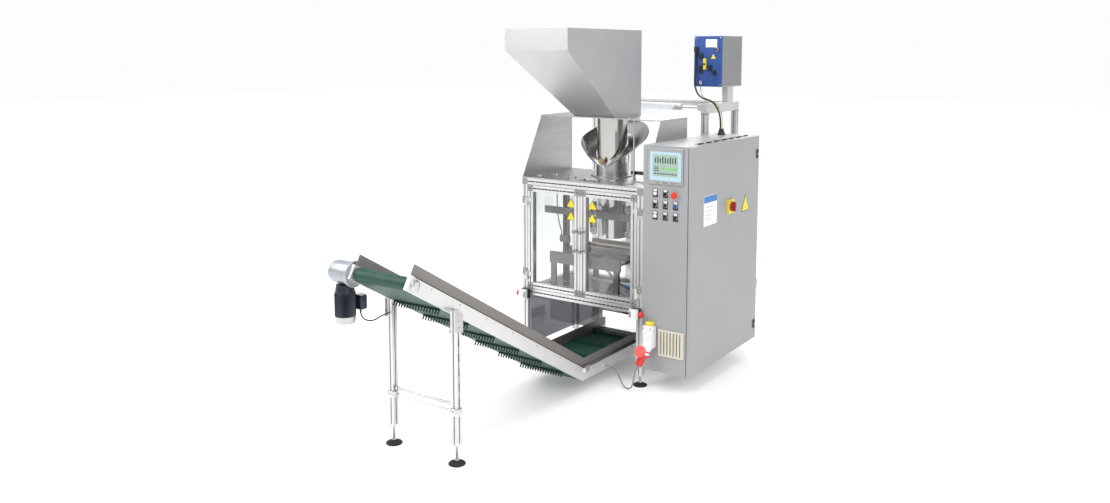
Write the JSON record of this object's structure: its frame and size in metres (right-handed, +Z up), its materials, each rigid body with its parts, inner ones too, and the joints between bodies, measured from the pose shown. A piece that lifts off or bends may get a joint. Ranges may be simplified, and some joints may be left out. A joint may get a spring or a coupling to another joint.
{
  "type": "vertical form fill sealer",
  "caption": "Bag-making machine with product funnel, forming tube, glazed guard doors, tall control cabinet, film frame and inclined discharge belt.",
  "frame": {"origin": "on the floor, in the middle of the machine's box", "axes": "+Z up; the guard doors face -Y; the control cabinet is on the +X side"},
  "size_m": [1.409, 3.4749, 2.385],
  "materials": {
    "clear_anodised": "satin anodised extrusion",
    "rubber_foot": "moulded",
    "clear_sheet": "clear polycarbonate",
    "smoked_sheet": "smoked polycarbonate",
    "bead_blasted_steel": "bead-blasted stainless steel",
    "polished_steel": "polished stainless steel",
    "satin_steel": "satin stainless sheet",
    "grey_enamel": "textured grey powder coat",
    "wound_film": "clear packaging film on its reel",
    "display_glass": "touch screen",
    "black_abs": "moulded",
    "red_abs": "moulded",
    "blue_abs": "moulded",
    "yellow_abs": "moulded",
    "white_abs": "moulded",
    "cream_abs": "moulded",
    "blue_enamel": "coder front",
    "jaw_bronze": "machined bronze",
    "tool_steel": "ground",
    "green_belt": "polyurethane belt with flights",
    "cast_aluminium": "as cast",
    "navy_enamel": "motor paint",
    "grey_pvc": "cable sheath",
    "black_pvc": "cable sheath",
    "earth_pvc": "green and yellow sheath",
    "blue_tube": "polyurethane air hose"
  },
  "bodies": {
    "machine_frame": {"air_hoses": "blue_tube", "air_service_unit": "cast_aluminium", "belt_flights": "green_belt", "cabinet_shell": "grey_enamel", "coder_cable": "black_pvc", "coder_case": "blue_enamel", "conveyor_belt": "green_belt", "conveyor_cord": "grey_pvc", "conveyor_frame": "clear_anodised", "conveyor_guards": "satin_steel", "conveyor_motor": "navy_enamel", "conveyor_plug": "red_abs", "earth_wire": "earth_pvc", "fascia_fittings": "black_abs", "film_frame": "clear_anodised", "filter_grille": "cream_abs", "forming_shoulder": "satin_steel", "forming_tube": "polished_steel", "gearbox": "cast_aluminium", "guard_frame": "clear_anodised", "head_plates": "satin_steel", "levelling_feet": "rubber_foot", "motor_lead": "black_pvc", "product_funnel": "bead_blasted_steel", "sealing_frame": "clear_anodised", "side_panes": "clear_sheet", "smoked_skirts": "smoked_sheet", "stop_boxes": "black_abs", "touch_screen": "display_glass", "wall_socket": "white_abs"},
    "left_door": {"left_door_frame": "clear_anodised", "left_door_pane": "clear_sheet"},
    "right_door": {"right_door_frame": "clear_anodised", "right_door_pane": "clear_sheet"},
    "cabinet_door": {"cabinet_door": "grey_enamel", "isolator_plate": "yellow_abs"},
    "isolator_knob": {"isolator_knob": "red_abs"},
    "emergency_stop": {"emergency_stop": "red_abs"},
    "reset_button": {"reset_button": "blue_abs"},
    "start_button": {"start_button": "white_abs"},
    "stop_button": {"stop_button": "black_abs"},
    "mode_selector": {"mode_selector": "black_abs"},
    "light_selector": {"light_selector": "black_abs"},
    "left_frame_stop": {"left_frame_stop": "red_abs"},
    "right_frame_stop": {"right_frame_stop": "red_abs"},
    "front_jaw": {"front_jaw": "jaw_bronze"},
    "rear_jaw": {"rear_jaw": "jaw_bronze"},
    "knife": {"knife": "tool_steel"},
    "seal_bar": {"seal_bar": "tool_steel"},
    "left_draw_unit": {"left_draw_unit": "red_abs"},
    "right_draw_unit": {"right_draw_unit": "red_abs"},
    "left_drive_pulley": {"left_drive_pulley": "cast_aluminium"},
    "right_drive_pulley": {"right_drive_pulley": "cast_aluminium"},
    "film_reel": {"film_reel": "wound_film"},
    "dancer_arm": {"dancer_arm": "satin_steel"},
    "guide_roller": {"guide_roller": "satin_steel"},
    "drive_roller": {"drive_roller": "satin_steel"},
    "tail_roller": {"tail_roller": "satin_steel"},
    "socket_lid": {"socket_lid": "red_abs"},
    "regulator_knob": {"regulator_knob": "black_abs"}
  },
  "joints": [
    {"name": "left_door_hinge", "type": "hinge", "parent": "machine_frame", "child": "left_door", "pos_m": [-0.635, 0.2, 0.7], "axis": [0, 0, -1], "range_deg": [0, 110]},
    {"name": "right_door_hinge", "type": "hinge", "parent": "machine_frame", "child": "right_door", "pos_m": [0.265, 0.2, 0.7], "axis": [0, 0, 1], "range_deg": [0, 110]},
    {"name": "cabinet_door_hinge", "type": "hinge", "parent": "machine_frame", "child": "cabinet_door", "pos_m": [0.649, 0.211, 0.9], "axis": [0, 0, -1], "range_deg": [0, 110]},
    {"name": "isolator_turn", "type": "hinge", "parent": "cabinet_door", "child": "isolator_knob", "pos_m": [0.66, 0.7975, 1.1775], "axis": [1, 0, 0], "range_deg": [0, 90]},
    {"name": "emergency_stop_press", "type": "slide", "parent": "machine_frame", "child": "emergency_stop", "axis": [0, 1, 0], "range_m": [0, 0.004], "stiffness_N_per_m": 800},
    {"name": "reset_button_press", "type": "slide", "parent": "machine_frame", "child": "reset_button", "axis": [0, 1, 0], "range_m": [0, 0.003], "stiffness_N_per_m": 400},
    {"name": "start_button_press", "type": "slide", "parent": "machine_frame", "child": "start_button", "axis": [0, 1, 0], "range_m": [0, 0.003], "stiffness_N_per_m": 400},
    {"name": "stop_button_press", "type": "slide", "parent": "machine_frame", "child": "stop_button", "axis": [0, 1, 0], "range_m": [0, 0.003], "stiffness_N_per_m": 400},
    {"name": "mode_selector_turn", "type": "hinge", "parent": "machine_frame", "child": "mode_selector", "pos_m": [0.401, 0.2, 1.244], "axis": [0, 1, 0], "range_deg": [-45, 45]},
    {"name": "light_selector_turn", "type": "hinge", "parent": "machine_frame", "child": "light_selector", "pos_m": [0.475, 0.2, 1.318], "axis": [0, 1, 0], "range_deg": [0, 90]},
    {"name": "left_frame_stop_press", "type": "slide", "parent": "machine_frame", "child": "left_frame_stop", "axis": [1, 0, 0], "range_m": [0, 0.004], "stiffness_N_per_m": 800},
    {"name": "right_frame_stop_press", "type": "slide", "parent": "machine_frame", "child": "right_frame_stop", "axis": [-1, 0, 0], "range_m": [0, 0.004], "stiffness_N_per_m": 800},
    {"name": "front_jaw_close", "type": "slide", "parent": "machine_frame", "child": "front_jaw", "axis": [0, 1, 0], "range_m": [0, 0.03]},
    {"name": "rear_jaw_close", "type": "slide", "parent": "machine_frame", "child": "rear_jaw", "axis": [0, -1, 0], "range_m": [0, 0.03]},
    {"name": "knife_stroke", "type": "slide", "parent": "front_jaw", "child": "knife", "axis": [0, 1, 0], "range_m": [0, 0.03]},
    {"name": "seal_bar_press", "type": "slide", "parent": "machine_frame", "child": "seal_bar", "axis": [0, 1, 0], "range_m": [0, 0.018]},
    {"name": "left_draw_release", "type": "slide", "parent": "machine_frame", "child": "left_draw_unit", "axis": [-1, 0, 0], "range_m": [0, 0.012]},
    {"name": "right_draw_release", "type": "slide", "parent": "machine_frame", "child": "right_draw_unit", "axis": [1, 0, 0], "range_m": [0, 0.012]},
    {"name": "left_pulley_spin", "type": "hinge", "parent": "left_draw_unit", "child": "left_drive_pulley", "pos_m": [-0.33, 0.633, 1.104], "axis": [0, 1, 0], "continuous": true},
    {"name": "right_pulley_spin", "type": "hinge", "parent": "right_draw_unit", "child": "right_drive_pulley", "pos_m": [-0.04, 0.633, 1.104], "axis": [0, 1, 0], "continuous": true},
    {"name": "film_reel_spin", "type": "hinge", "parent": "machine_frame", "child": "film_reel", "pos_m": [-0.185, 1.4255, 0.62], "axis": [1, 0, 0], "continuous": true},
    {"name": "dancer_swing", "type": "hinge", "parent": "machine_frame", "child": "dancer_arm", "pos_m": [-0.185, 1.223, 1.15], "axis": [1, 0, 0], "range_deg": [-22, 20]},
    {"name": "guide_roller_spin", "type": "hinge", "parent": "machine_frame", "child": "guide_roller", "pos_m": [-0.185, 1.1605, 1.822], "axis": [1, 0, 0], "continuous": true},
    {"name": "drive_roller_spin", "type": "hinge", "parent": "machine_frame", "child": "drive_roller", "pos_m": [-0.172, -1.66549, 1.04603], "axis": [1, 0, 0], "continuous": true},
    {"name": "tail_roller_spin", "type": "hinge", "parent": "machine_frame", "child": "tail_roller", "pos_m": [-0.172, 0.79, 0.118], "axis": [1, 0, 0], "continuous": true},
    {"name": "socket_lid_lift", "type": "hinge", "parent": "machine_frame", "child": "socket_lid", "pos_m": [0.36337, 0.11298, 0.31815], "axis": [1, 0, 0], "range_deg": [-30, 0]},
    {"name": "regulator_turn", "type": "hinge", "parent": "machine_frame", "child": "regulator_knob", "pos_m": [0.536, 1.339, 0.58], "axis": [0, 0, 1], "range_deg": [-180, 180]}
  ],
  "couplings": [
    {"joint": "rear_jaw_close", "follows": "front_jaw_close", "ratio": 1},
    {"joint": "right_pulley_spin", "follows": "left_pulley_spin", "ratio": -1},
    {"joint": "tail_roller_spin", "follows": "drive_roller_spin", "ratio": 1}
  ]
}
